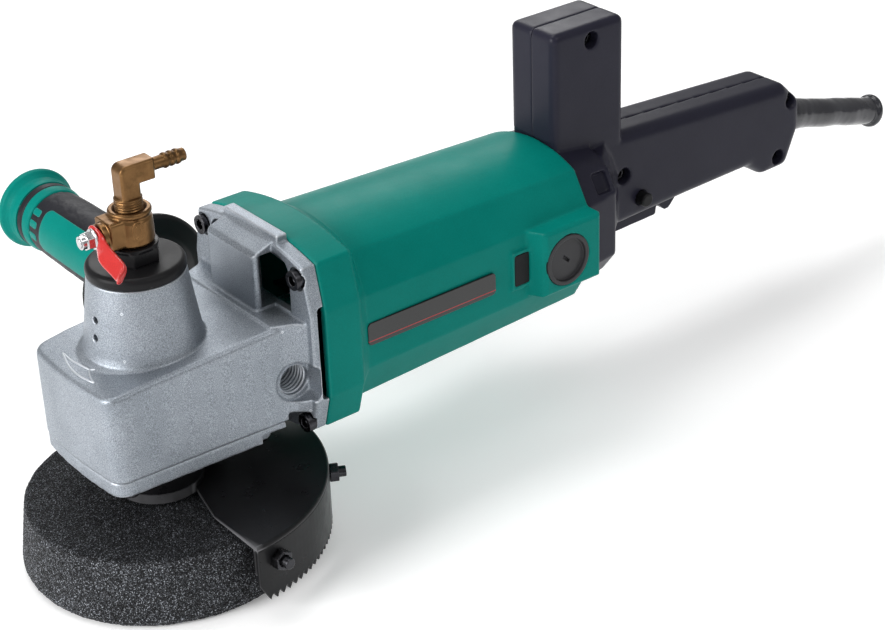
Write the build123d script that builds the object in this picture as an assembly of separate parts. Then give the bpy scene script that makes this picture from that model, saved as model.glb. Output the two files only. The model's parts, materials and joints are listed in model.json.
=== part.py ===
from build123d import *
import os
from math import atan, cos, degrees, pi, radians, sin

# Hand-held wet stone grinder. Millimetres. +X runs along the motor towards the rear grip,
# +Z runs up the spindle towards the water valve, and the auxiliary handle points along +Y.
# The origin is on the spindle axis in the plane of the stone's working face.

# ---------------------------------------------------------------- driving dimensions
MOTOR_Z = 90.0          # height of the armature axis
RUN = 0.05              # radial running clearance of a shaft in its bore
GAP = 0.3               # air between two bodies that move past each other

STONE_R = 62.5          # cup stone, at the working face
STONE_TOP_R = 58.8
STONE_H = 31.0
CUP_R = 44.0            # hollow of the cup stone
CUP_DEPTH = 19.0
INSERT_R = 13.0
THREAD_R = 7.0          # M14 spindle thread
WATER_R = 2.5           # water passage through the spindle

HEAD_FRONT_X = -36.0
HEAD_BULGE = 2.2            # the front face is bowed forward by this much
HEAD_FRONT_HALF_W = 31.4
HEAD_REAR_HALF_W = 35.2     # the sides flare towards the flange
HEAD_BOTTOM_Z = 60.0
HEAD_TOP_Z = 100.5
GEAR_CHAMBER_R = 26.4
FLANGE_X = 54.0         # front face of the bolted flange
JOINT_X = 61.0          # gear housing meets motor housing
STEP_X = 79.0           # rear end of the motor housing's front flange
BODY_X = 85.0           # front end of the tapered barrel
REAR_X = 214.0          # rear end of the motor housing
LABEL_X0 = 85.2         # blank name strip on each side flat
LABEL_LEN = 71.0
FLAT_Y = 39.0           # half width across the barrel's side flats

TOWER_BASE_R = 25.5
TOWER_TOP_R = 20.6
TOWER_TOP_Z = 135.5
CAP_R = 20.8
CAP_H = 5.2

HANDLE_X = 50.0         # auxiliary handle axis
HANDLE_Z = 78.0
HANDLE_END_Y = 194.0
HANDLE_R = 16.5
HANDLE_FLANGE_R = 20.2
SIDE_THREAD_R = 6.9     # M14 side handle thread
NEAR_BOSS_Y = 34.0      # spot face round the free side handle thread
FAR_BOSS_Y = 45.5       # boss that carries the fitted side handle

GUARD_R = 72.5
GUARD_TOP_Z = 34.8
GUARD_T = 2.0
SKIRT_BOTTOM_Z = 6.0
COLLAR_R = 16.0         # collar of the bearing cover that carries the guard

VALVE_Z = 155.0         # axis of the valve stem
BALL_R = 4.9
VALVE_TOP_Z = 163.6     # mouth that takes the elbow's thread
LEG_Z = 168.5           # underside of the elbow's square leg
ELBOW_Z = 178.4         # axis of the hose barb
BARB_R = 3.3

PINION_TEETH = 12
GEAR_TEETH = 36
GEAR_R = 24.0           # pitch radius of the crown gear at its outer end
FACE_W = 8.0            # tooth length along the pitch cone
ADDENDUM = 0.85
DEDENDUM = 1.35
TOOTH_SHARE = 0.40      # tooth thickness as a share of the tooth pitch

STACK_X0, STACK_X1 = 116.0, 168.0   # lamination stacks
STATOR_R = 34.5
BORE_R = 20.9
ARMATURE_R = 20.3
SHAFT_R = 6.0
BRUSH_X = 193.4
BRUSH_PAD_Y = 47.0
BRUSH_CAP_R = 12.4
COMMUTATOR_R = 12.0

BOX_X0, BOX_X1 = 212.8, 256.4       # upright box on the rear shells
BOX_HALF_W = 15.5
BOX_TOP_Z = 183.0
GRIP_HALF_W = 15.6
SHELL_T = 2.6
CASING_END_X = 234.0                # rear end of the round part of the shells
NECK_END_X = 253.0                  # the neck has narrowed to the grip here
BOOT_DROOP = 15.0                   # degrees below horizontal
BOOT_LEN = 74.0
CORD_R = 4.2

PARTS = {}


# ---------------------------------------------------------------- helpers
def block(x0, x1, y0, y1, z0, z1):
    return Pos((x0 + x1) / 2, (y0 + y1) / 2, (z0 + z1) / 2) * Box(x1 - x0, y1 - y0, z1 - z0)


def rod_z(r, z0, z1, x=0.0, y=0.0):
    return Pos(x, y, (z0 + z1) / 2) * Cylinder(r, z1 - z0)


def rod_x(r, x0, x1, y=0.0, z=MOTOR_Z):
    return Pos((x0 + x1) / 2, y, z) * Rot(0, 90, 0) * Cylinder(r, x1 - x0)


def rod_y(r, y0, y1, x, z):
    return Pos(x, (y0 + y1) / 2, z) * Rot(90, 0, 0) * Cylinder(r, y1 - y0)


def spun_z(points):
    """Solid of revolution about Z from (radius, z) points."""
    outline = Plane.XZ * Polyline(*points, close=True)
    return revolve(make_face(outline), Axis.Z)


def spun_x(points, z=MOTOR_Z):
    """Solid of revolution about the line y = 0, z = z from (x, radius) points."""
    outline = Plane.XZ * Polyline(*points, close=True)
    return Pos(0, 0, z) * revolve(make_face(outline), Axis.X)


def spun_y(points, x, z):
    """Solid of revolution about a line along Y from (y, radius) points."""
    outline = Plane.XY * Polyline(*[(r, y) for y, r in points], close=True)
    return Pos(x, 0, z) * revolve(make_face(outline), Axis.Y)


def ring_x(r_out, r_in, x0, x1):
    return rod_x(r_out, x0, x1) - rod_x(r_in, x0 - 1, x1 + 1)


def ring_z(r_out, r_in, z0, z1):
    return rod_z(r_out, z0, z1) - rod_z(r_in, z0 - 1, z1 + 1)


def hex_z(across_flats, z0, z1, x=0.0, y=0.0):
    return Pos(x, y, z0) * extrude(RegularPolygon(across_flats / 2, 6, major_radius=False), z1 - z0)


def side_profile(points, half_w):
    """Plate of half thickness half_w from an (x, z) outline."""
    face = make_face(Plane.XZ * Polyline(*points, close=True))
    return extrude(face, half_w, both=True)


def plan_plate(points, z0, z1):
    face = make_face(Plane.XY * Polyline(*points, close=True))
    return Pos(0, 0, z0) * extrude(face, z1 - z0)


def join(pieces):
    whole = pieces[0]
    for piece in pieces[1:]:
        whole = whole + piece
    return whole


def add(name, shape):
    PARTS[name] = shape


def mirror_y(shape):
    return mirror(shape, Plane.XZ)


def socket_screw(head_r, head_h, shank_r, length):
    """Screw along +Z: head on top of z = 0, shank below, hexagon socket in the head."""
    screw = rod_z(head_r, 0, head_h) + rod_z(shank_r, -length, 0)
    return screw - hex_z(head_r * 0.95, head_h * 0.4, head_h + 1)


# ---------------------------------------------------------------- barrel sections
def barrel_face(x, side_y, side_z, corner_y, corner_z, crown_z, low=0.0):
    """Octagon with crowned top and bottom, in the plane at x, centred on the armature axis.
    The lower half is shallower than the upper one by low."""
    top = ThreePointArc((corner_y, corner_z), (0, crown_z), (-corner_y, corner_z))
    bottom = ThreePointArc((-corner_y, low - corner_z), (0, low - crown_z), (corner_y, low - corner_z))
    left = Polyline((-corner_y, corner_z), (-side_y, side_z), (-side_y, -side_z), (-corner_y, low - corner_z))
    right = Polyline((corner_y, low - corner_z), (side_y, -side_z), (side_y, side_z), (corner_y, corner_z))
    plane = Plane(origin=(x, 0, MOTOR_Z), x_dir=(0, 1, 0), z_dir=(1, 0, 0))
    return plane * make_face(top + left + bottom + right)


FLANGE_SHAPE = (44.5, 20.0, 39.5, 41.5, 47.0, 4.5)
FRONT_SHAPE = (FLAT_Y + 0.5, 17.5, 30.5, 35.4, 42.5, 0.0)
REAR_SHAPE = (FLAT_Y - 0.8, 16.2, 28.5, 32.4, 39.0, 0.0)
CASING_SHAPE = (FLAT_Y - 1.6, 15.8, 28.0, 31.6, 38.2, 3.0)


def shrunk(shape, t):
    side_y, side_z, corner_y, corner_z, crown_z, low = shape
    return (side_y - t, side_z - t * 0.2, corner_y - t * 0.7, corner_z - t * 0.8, crown_z - t, low)


# ---------------------------------------------------------------- gear head
FLANGE_SCREWS = [(-35.0, 125.0), (35.0, 125.0), (-36.5, 57.0), (36.5, 57.0)]
COVER_SCREWS = [(-26.5, -22.0), (-26.5, 22.0), (37.0, -22.0), (37.0, 22.0)]
PINION_BEARING = (44.2, 54.2, 15.5)     # x0, x1, outer radius
LOWER_BEARING = (47.0, 58.0, 17.5)      # z0, z1, outer radius
UPPER_BEARING = (108.0, 116.0, 13.0)


SEAM = 0.6              # depth of the groove where the cover meets the housing
COVER_RIM_Z = 53.4      # underside of the cover's rim


def head_prism(x1, inset, z0, z1):
    """Prism on the outline of the head seen from above, ending at x1, with rounded front corners."""
    x0 = HEAD_FRONT_X + inset
    share = (x1 - HEAD_FRONT_X) / (FLANGE_X + 1 - HEAD_FRONT_X)
    front = HEAD_FRONT_HALF_W - inset
    rear = front + share * (HEAD_REAR_HALF_W - HEAD_FRONT_HALF_W)
    sides = Polyline((x0, front), (x1, rear), (x1, -rear), (x0, -front))
    outline = sides + ThreePointArc((x0, -front), (x0 - HEAD_BULGE, 0), (x0, front))
    prism = Pos(0, 0, z0) * extrude(make_face(outline), z1 - z0)
    return fillet(prism.edges().filter_by(Axis.Z).group_by(Axis.X)[0], 7.6 - inset)


def gear_housing():
    front = HEAD_FRONT_X - HEAD_BULGE - 1
    profile = [(front, HEAD_BOTTOM_Z), (front, HEAD_TOP_Z - 1.2), (-20, HEAD_TOP_Z + 1.2),
               (46, 105.5), (FLANGE_X + 1, 106), (FLANGE_X + 1, HEAD_BOTTOM_Z)]
    head = side_profile(profile, 50) & head_prism(FLANGE_X + 1, 0.0, 50, 120)
    head = chamfer(head.faces().sort_by(Axis.Z)[0].edges(), SEAM)
    rim = [e for e in head.edges() if e.center().Z > HEAD_TOP_Z - 2 and e.center().X < 50]
    rim = [e for e in rim if abs(e.center().Y) > 20 or e.center().X < HEAD_FRONT_X + 0.5]
    head = fillet(rim, 2.4)
    cheek_plan = [(41, 33), (45.5, 34.9), (49.5, 36.4), (FLANGE_X + 2, 42.5), (FLANGE_X + 2, 0), (41, 0)]
    cheek = plan_plate(cheek_plan, 63, 106)
    head = head + cheek + mirror_y(cheek)
    plate = extrude(barrel_face(FLANGE_X, *shrunk(FLANGE_SHAPE, 0.4)), JOINT_X - FLANGE_X)
    plate = chamfer(plate.faces().sort_by(Axis.X)[0].edges(), 0.8)
    rib = side_profile([(FLANGE_X + 1.5, 130), (FLANGE_X + 1.5, 138.5), (JOINT_X, 138.5), (JOINT_X, 130)], 20)
    scoop_x1 = FLANGE_X + 3
    scoop = side_profile([(44.6, 100), (44.6, 131), (46.6, 132.8), (scoop_x1, 136.4), (scoop_x1, 100)], 18)
    scoop = fillet(scoop.edges().filter_by(Axis.Z).group_by(Axis.X)[0], 2.0)
    tower = spun_z([(0, 90), (TOWER_BASE_R + 2.2, 90), (TOWER_BASE_R + 2.2, 101.4), (TOWER_BASE_R + 0.3, 102.6),
                    (TOWER_BASE_R - 0.7, 105.6), (TOWER_TOP_R, TOWER_TOP_Z), (0, TOWER_TOP_Z)])
    near_boss = rod_y(12.5, -NEAR_BOSS_Y, -25, HANDLE_X, HANDLE_Z)
    far_boss = spun_y([(29, 0), (29, 13.5), (FAR_BOSS_Y, 10.4), (FAR_BOSS_Y, 0)], HANDLE_X, HANDLE_Z)
    whole = head + plate + rib + scoop + tower + near_boss + far_boss
    whole = whole - block(JOINT_X, JOINT_X + 5, -60, 60, 40, 150)
    spot_face = rod_y(9.5, -NEAR_BOSS_Y - 12, -NEAR_BOSS_Y, HANDLE_X, HANDLE_Z)
    whole = whole - (spot_face & block(30, FLANGE_X + 3.1, -60, 0, 60, 100))
    # gear chamber, armature passage, air chamber behind the flange
    whole = whole - rod_z(GEAR_CHAMBER_R, HEAD_BOTTOM_Z - 1, 98.2)
    whole = whole - rod_x(9.8, 8, 45) - rod_x(PINION_BEARING[2], PINION_BEARING[0], FLANGE_X + 4)
    air = extrude(barrel_face(FLANGE_X + 3.8, *shrunk(FLANGE_SHAPE, 11.0)), 10)
    whole = whole - air
    # outlets beside the scoop, side slots on the joint, bottom relief
    for side in (-1, 1):
        outlet = block(47.4, JOINT_X - 2, side * 16.25 - 13.25, side * 16.25 + 13.25, 107.2, 131.2)
        top_edges = outlet.edges().filter_by(Axis.X).group_by(Axis.Z)[-1].sort_by(Axis.Y)
        whole = whole - fillet(top_edges[-1 if side > 0 else 0], 7.0)
        slot = block(JOINT_X - 3.6, JOINT_X + 1, side * 41.5 - 4.5, side * 41.5 + 4.5, 69, 113)
        slot = fillet(slot.edges().filter_by(Axis.Y).group_by(Axis.X)[0], 2.2)
        whole = whole - slot
        relief = block(45.5, FLANGE_X - 0.01, side * 24 - 12, side * 24 + 12, 50, 63.5)
        whole = whole - relief
    # tower bores
    whole = whole - rod_z(11.0, 96, 110) - rod_z(UPPER_BEARING[2], UPPER_BEARING[0], TOWER_TOP_Z + 1)
    # side handle threads, weep holes
    whole = whole - rod_y(SIDE_THREAD_R, -NEAR_BOSS_Y - 0.5, -18, HANDLE_X, HANDLE_Z)
    whole = whole - rod_y(SIDE_THREAD_R, 18, FAR_BOSS_Y + 0.5, HANDLE_X, HANDLE_Z)
    for z in (112.8, 120.6):
        hole = Pos(0, 0, z) * Rot(0, 0, 186) * Rot(0, 90, 0) * Pos(0, 0, 20) * Cylinder(1.5, 16)
        whole = whole - hole
    # screw holes
    for y, z in FLANGE_SCREWS:
        whole = whole - rod_x(2.6, FLANGE_X - 4, JOINT_X + 1, y, z)
        whole = whole - rod_x(5.2, FLANGE_X - 6, FLANGE_X + 1.6, y, z)
    for x, y in COVER_SCREWS:
        whole = whole - rod_z(2.5, HEAD_BOTTOM_Z - 1, 70.0, x, y)
    return whole


def bearing_cover():
    half_w = HEAD_FRONT_HALF_W
    upper = head_prism(44, 0.3, COVER_RIM_Z, HEAD_BOTTOM_Z)
    upper = chamfer(upper.faces().sort_by(Axis.Z)[-1].edges(), SEAM)
    upper = upper - block(32.0, 46, -50, 50, COVER_RIM_Z - 1, 57.2)
    low_outline = [(HEAD_FRONT_X + 12, 3 - half_w), (34, 3 - half_w), (34, half_w - 3),
                   (HEAD_FRONT_X + 12, half_w - 3), (HEAD_FRONT_X + 3.5, 19), (HEAD_FRONT_X + 3.5, -19)]
    lower = plan_plate(low_outline, 50.4, 56.4)
    lower = chamfer(lower.faces().sort_by(Axis.Z)[0].edges(), 1.5)
    spigot = rod_z(GEAR_CHAMBER_R - RUN, HEAD_BOTTOM_Z - 1, HEAD_BOTTOM_Z + 3)
    collar = spun_z([(0, 36.7), (COLLAR_R - 0.8, 36.7), (COLLAR_R, 37.5), (COLLAR_R, 45.9), (COLLAR_R + 4.5, 45.9),
                     (COLLAR_R + 4.5, 51), (0, 51)])
    lugs = join([rod_z(5.6, 50.4, 58, x, y) for x, y in COVER_SCREWS])
    whole = upper + lower + spigot + collar + lugs
    z0, z1, r = LOWER_BEARING
    whole = whole - rod_z(r, z0, HEAD_BOTTOM_Z + 4) - rod_z(9.5, 30, z0 + 1)
    whole = whole - rod_z(13.0, 40, z0 - 2.6)
    for x, y in COVER_SCREWS:
        whole = whole - rod_z(2.6, 49, HEAD_BOTTOM_Z + 1, x, y) - rod_z(4.6, 49, 52.8, x, y)
    return whole


def head_screws():
    """Eight equal screws: four hold the bearing cover, four hold the head to the motor housing."""
    screw = socket_screw(4.4, 4.0, 2.45, 16.5)
    cover = [Pos(x, y, 52.8) * Rot(180, 0, 0) * screw for x, y in COVER_SCREWS]
    flange = [Pos(FLANGE_X + 1.6, y, z) * Rot(0, -90, 0) * screw for y, z in FLANGE_SCREWS]
    return cover + flange


def ball_bearing(r_in, r_out, width, balls):
    """Bearing along Z centred on the origin: two grooved rings and a row of balls, touching."""
    mid = (r_in + r_out) / 2
    ball_r = (r_out - r_in) * 0.27
    land = (r_out - r_in) * 0.30
    outer = ring_z(r_out, r_out - land, -width / 2, width / 2)
    inner = ring_z(r_in + land, r_in, -width / 2, width / 2)
    groove = Torus(mid, ball_r)
    cage = ring_z(mid + 0.9, mid - 0.9, -width * 0.3, width * 0.3)
    row = [Pos(mid * cos(2 * pi * i / balls), mid * sin(2 * pi * i / balls), 0) * Sphere(ball_r + 0.02)
           for i in range(balls)]
    shield = ring_z(r_out - land + 0.1, r_in + land - 0.1, -width / 2 + 0.5, -width / 2 + 1.1)
    return (outer - groove) + (inner - groove) + cage + join(row) + shield


def water_parts():
    cap = spun_z([(0, 125.2), (UPPER_BEARING[2] - RUN, 125.2), (UPPER_BEARING[2] - RUN, TOWER_TOP_Z),
                  (CAP_R - 0.6, TOWER_TOP_Z), (CAP_R, TOWER_TOP_Z + 0.8), (CAP_R, TOWER_TOP_Z + 3.2),
                  (CAP_R - 0.6, TOWER_TOP_Z + 4.4), (CAP_R - 1.9, TOWER_TOP_Z + CAP_H), (0, TOWER_TOP_Z + CAP_H)])
    cap = cap - rod_z(4.0, 120, 150) - rod_z(7.5, 124, 131)
    add("water_cap", cap)
    seal = ring_z(UPPER_BEARING[2] - RUN, 6.2, 117.2, 125.0)
    lip = spun_z([(5.0 + RUN, 119), (6.4, 117.2), (6.4, 125.0), (5.0 + RUN, 123)])
    add("water_seal", seal + lip)
    top = TOWER_TOP_Z + CAP_H
    adapter = hex_z(19.5, top, top + 6.4) + rod_z(10.4, top + 6.4, top + 7.6) + rod_z(4.4, top + 7.0, 149.6)
    adapter = adapter + rod_z(3.95, 131.5, top + 1)
    adapter = adapter - rod_z(2.5, 125, 160)
    add("hex_adapter", adapter)


# ---------------------------------------------------------------- water valve
def valve_parts():
    base = TOWER_TOP_Z + CAP_H + 7.6
    body = spun_z([(0, base), (8.2, base), (9.2, base + 1.3), (9.0, 159.4), (8.3, 160.2), (8.3, 161.1),
                   (9.0, 161.8), (9.0, 163.0), (8.4, VALVE_TOP_Z), (0, VALVE_TOP_Z)])
    mouth = spun_z([(0, 162.4), (6.0, 162.4), (7.2, VALVE_TOP_Z + 0.1), (0, VALVE_TOP_Z + 0.1)])
    boss = Pos(-11.0, 0, VALVE_Z) * Rot(0, 90, 0) * Cylinder(5.6, 8)
    shoulder = block(-12.6, 0, -6.4, 6.4, VALVE_Z - 6.0, VALVE_Z + 6.4)
    shoulder = fillet(shoulder.edges().filter_by(Axis.X), 1.6)
    body = body + boss + shoulder
    body = body - rod_z(2.5, base - 1, 170) - rod_z(6.0, 160.3, 170) - rod_z(4.45, base - 1, 149.65) - mouth
    body = body - Pos(0, 0, VALVE_Z) * Sphere(BALL_R + 0.3) - rod_x(2.4, -20, 0, 0, VALVE_Z)
    add("valve_body", body)
    ball = Pos(0, 0, VALVE_Z) * Sphere(BALL_R)
    ball = ball - rod_y(2.4, -8, 8, 0, VALVE_Z) - block(-6.5, -3.6, -1.1, 1.1, VALVE_Z - 9, VALVE_Z + 9)
    add("valve_ball", ball)
    stem = rod_x(2.4 - RUN, -15.4, -5.3, 0, VALVE_Z) + block(-5.5, -3.7, -1.0, 1.0, VALVE_Z - 2.1, VALVE_Z + 2.1)
    stem = stem + block(-18.6, -15.3, -1.6, 1.6, VALVE_Z - 1.6, VALVE_Z + 1.6)
    stem = stem + rod_x(1.9, -24.0, -18.4, 0, VALVE_Z)
    add("valve_stem", stem)
    # lever: an eye round the stem, a cranked arm with a dished, upturned blade
    eye = rod_x(5.0, -17.2, -15.4, 0, VALVE_Z)
    arm = Pos(-16.3, 0, VALVE_Z) * Rot(13, 0, 0) * block(-0.9, 0.9, -13, 0, -4.2, 4.2)
    blade_face = Plane.XZ * make_face(Polyline((0.9, -4.2), (0.9, 4.2), (-0.4, 5.0), (-1.6, 5.0), (-0.9, 4.0),
                                               (-0.9, -4.2), (-1.6, -5.0), (-0.4, -5.0), close=True))
    blade = extrude(blade_face, 13.5)
    blade = Pos(-16.3, 0, VALVE_Z) * Rot(13, 0, 0) * Pos(0, -12.4, 0) * Rot(8, 0, -14) * blade
    lever = eye + arm + blade
    lever = lever - block(-20, -12, -1.65, 1.65, VALVE_Z - 1.65, VALVE_Z + 1.65)
    add("valve_lever", lever)
    nut = Rot(0, -90, 0) * (hex_z(7.0, 0, 3.4) + rod_z(2.9, 3.3, 5.6))
    nut = nut + Rot(0, -90, 0) * rod_z(4.4, -0.7, 0.1)
    nut = Pos(-18.0, 0, VALVE_Z) * nut - rod_x(1.95, -30, -10, 0, VALVE_Z)
    nut = nut - block(-18.7, -17, -1.65, 1.65, VALVE_Z - 1.65, VALVE_Z + 1.65)
    add("lever_nut", nut)


def hose_elbow():
    half = 4.3
    leg = block(-half, half, -half, half, LEG_Z, ELBOW_Z + half)
    run = block(-half, 11.6, -half, half, ELBOW_Z - half, ELBOW_Z + half)
    elbow = leg + run
    outer_corner = elbow.edges().filter_by(Axis.Y).group_by(Axis.X)[0].sort_by(Axis.Z)[-1]
    elbow = fillet(outer_corner, 3.2)
    elbow = chamfer(elbow.edges().filter_by(Axis.Z), 0.9)
    pitch = 1.15
    thread = join([spun_z([(0, z), (5.1, z), (5.95, z + 0.4), (5.95, z + 0.7), (5.1, z + pitch), (0, z + pitch)])
                   for z in [160.5 + pitch * k for k in range(7)]])
    barb_x = [12.6, 15.4, 18.2, 21.0]
    tube = rod_x(2.7, 11, 27.4, 0, ELBOW_Z)
    teeth = join([spun_x([(x + 1.8, 0), (x + 1.8, 2.7), (x + 2.2, BARB_R), (x + 3.0, BARB_R), (x + 4.6, 2.7),
                          (x + 4.6, 0)], ELBOW_Z) for x in barb_x[1:]])
    elbow = elbow + thread + tube + teeth
    return elbow - rod_z(2.4, 158, ELBOW_Z) - rod_x(1.6, 0, 28, 0, ELBOW_Z)


# ---------------------------------------------------------------- bevel gears
def bevel_blank(teeth, mate_teeth, r_out, back, hub):
    """Tooth-carrying cone along +Z with its apex at the origin, and its ring of tapered teeth."""
    pitch_angle = atan(teeth / mate_teeth)
    far = r_out / sin(pitch_angle)
    near = far - FACE_W
    along = Vector(sin(pitch_angle), 0, cos(pitch_angle))
    out = Vector(cos(pitch_angle), 0, -sin(pitch_angle))
    half_t = pi * r_out / teeth * TOOTH_SHARE
    root = -DEDENDUM
    far_root = along * far + out * root
    near_root = far_root * (near / far)
    blank = spun_z([(0, near_root.Z), (near_root.X, near_root.Z), (far_root.X, far_root.Z),
                    (far_root.X - back, far_root.Z + back * 0.9), (hub, far_root.Z + back * 0.9),
                    (hub, far_root.Z + back + 3.0), (0, far_root.Z + back + 3.0)])
    sections = []
    for scale in (1.0, near / far):
        corners = [(root - 0.5, -1.45), (ADDENDUM, -0.62), (ADDENDUM, 0.62), (root - 0.5, 1.45)]
        points = [(along * far + out * h) * scale + Vector(0, w * half_t * scale, 0) for h, w in corners]
        sections.append(Wire.make_polygon([Vector(p.X, p.Y, p.Z) for p in points]))
    tooth = Solid.make_loft(sections, ruled=True)
    ring = [Rot(0, 0, 360.0 * i / teeth) * tooth for i in range(teeth)]
    return blank, ring


def bevel_parts():
    blank, teeth = bevel_blank(GEAR_TEETH, PINION_TEETH, GEAR_R, 3.0, 12.0)
    gear = Part() + blank
    gear = gear + teeth
    gear = Pos(0, 0, MOTOR_Z) * Rot(180, 0, 180.0 / GEAR_TEETH) * gear
    gear = gear - rod_z(7.5, 50, MOTOR_Z)
    add("bevel_gear", gear)
    pinion_r = GEAR_R * PINION_TEETH / GEAR_TEETH
    blank, teeth = bevel_blank(PINION_TEETH, GEAR_TEETH, pinion_r, 0.8, 6.6)
    pinion = Part() + blank
    pinion = pinion + teeth
    pinion = Pos(0, 0, MOTOR_Z) * Rot(0, 90, 0) * pinion
    pinion = pinion - rod_x(4.0, 0, 40)
    add("pinion", pinion)


# ---------------------------------------------------------------- spindle, stone
def spindle_parts():
    spindle = spun_z([(0, 9), (THREAD_R - 0.8, 9), (THREAD_R - 0.05, 10), (THREAD_R - 0.05, 36.5), (9.0, 36.5),
                      (9.0, 46.8), (7.5, 46.8), (7.5, 58.2), (9.2, 58.2), (9.2, 66.6), (7.45, 66.6), (7.45, 83.0),
                      (6.6, 84.0), (6.6, 107.6), (5.0, 107.6), (5.0, 127.5), (4.4, 128.0), (0, 128.0)])
    spindle = spindle - rod_z(WATER_R, 0, 140)
    add("spindle", spindle)
    flange = rod_z(13.2, STONE_H, STONE_H + 2.6) + hex_z(19.0, STONE_H + 2.5, 36.3)
    add("flange_nut", flange - rod_z(THREAD_R, 20, 40))
    insert = rod_z(INSERT_R, STONE_H - 9, STONE_H) + rod_z(INSERT_R + 3, STONE_H - 12.2, STONE_H - 9)
    add("stone_insert", insert - rod_z(THREAD_R, 0, 40))
    back_z = STONE_H - 12.0
    stone = spun_z([(0, 0), (STONE_R - 3.2, 0), (STONE_R - 0.9, 1.1), (STONE_R, 3.6), (STONE_TOP_R, STONE_H - 0.4),
                    (STONE_TOP_R - 0.5, STONE_H), (0, STONE_H)])
    hollow = rod_z(CUP_R, -1, CUP_DEPTH)
    stone = stone - hollow - rod_z(INSERT_R, back_z, STONE_H + 1)
    stone = stone - rod_z(INSERT_R + 3, back_z - 1, STONE_H - 9)
    add("cup_stone", stone)


# ---------------------------------------------------------------- guard
GUARD_BOLT_ANGLES = (-81.0, -28.0, 28.0, 81.0)
GUARD_BOLT_Z = 25.0
TOOTH_STEP = 3.0        # degrees of skirt per tooth
TOOTH_H = 3.2


def half_band(r_out, r_in, z0, z1):
    band = ring_z(r_out, r_in, z0, z1)
    return band & block(1.0, r_out + 1, -r_out - 1, r_out + 1, z0 - 1, z1 + 1)


def guard_parts():
    z0 = GUARD_TOP_Z - GUARD_T
    inner_r = GUARD_R - 2.0
    half = rod_z(GUARD_R - 0.05, z0, GUARD_TOP_Z)
    half = fillet(half.faces().sort_by(Axis.Z)[-1].edges(), 1.3)
    keep = plan_plate([(1, -80), (1.3, -40), (8, -13), (-8, -13), (-8, 13), (8, 13), (1.3, 40), (1, 80),
                       (80, 80), (80, -80)], z0 - 1, GUARD_TOP_Z + 1)
    hub_r = COLLAR_R + 3.0
    plate = (half & keep) + rod_z(hub_r, z0, GUARD_TOP_Z)
    band = half_band(inner_r, inner_r - 1.6, 19.5, z0)
    socket = ring_z(hub_r, COLLAR_R + GAP, GUARD_TOP_Z - 0.5, 37.2)
    plate = plate + socket - rod_z(14.0, z0 - 1, 36)
    skirt = half_band(GUARD_R, inner_r, SKIRT_BOTTOM_Z, z0)
    cutters = []
    for i in range(61):
        angle = -90.0 + i * TOOTH_STEP
        half_w = GUARD_R * radians(TOOTH_STEP) / 2
        wedge = make_face(Plane.YZ * Polyline((-half_w, -0.5), (half_w, -0.5), (0, TOOTH_H), close=True))
        cutters.append(Rot(0, 0, angle) * Pos(GUARD_R - 6, 0, SKIRT_BOTTOM_Z) * extrude(wedge, 12))
    skirt = skirt - cutters
    for side in (-1, 1):
        bevel = make_face(Plane.XZ * Polyline((0, 0), (9.5, 0), (0, 17), close=True))
        skirt = skirt - Pos(0, side * 71 + 6, 0) * extrude(bevel, 12)
    holes = []
    bolts = []
    nuts = []
    for angle in GUARD_BOLT_ANGLES:
        turn = Rot(0, 0, angle) * Pos(0, 0, GUARD_BOLT_Z) * Rot(0, 90, 0)
        holes.append(turn * rod_z(2.6, 60, 80))
        bolt = rod_z(4.2, inner_r - 3.7, inner_r - 1.85) + rod_z(2.5, inner_r - 2.5, GUARD_R + 7.6)
        bolts.append(turn * bolt)
        nut = hex_z(8.0, GUARD_R + 0.3, GUARD_R + 4.2) - rod_z(2.55, 70, 90)
        nuts.append(turn * nut)
    add("guard_plate", plate)
    add("guard_band", band - holes)
    add("guard_skirt", skirt - holes)
    add("guard_bolts", bolts)
    add("guard_nuts", nuts)
    # clamp band round the bearing cover's collar, with a pinch screw at the rear
    clamp = ring_z(hub_r, COLLAR_R + GAP, 37.25, 45.5)
    ears = block(16.5, 28.0, -5.2, -1.2, 37.25, 45.5) + block(16.5, 28.0, 1.2, 5.2, 37.25, 45.5)
    clamp = clamp + (ears - rod_z(COLLAR_R + GAP, 30, 50)) - block(13, 34, -1.2, 1.2, 30, 50)
    clamp = clamp - rod_y(2.1, -8, 8, 23.6, 41.4)
    add("guard_clamp", clamp)
    screw = Rot(90, 0, 0) * (rod_z(3.6, 5.3, 8.6) - hex_z(3.4, 6.6, 9) + rod_z(2.0, -8.6, 5.4))
    screw = screw + Rot(-90, 0, 0) * hex_z(6.6, 5.3, 8.0)
    add("clamp_screw", Pos(23.6, 0, 41.4) * screw)


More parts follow.
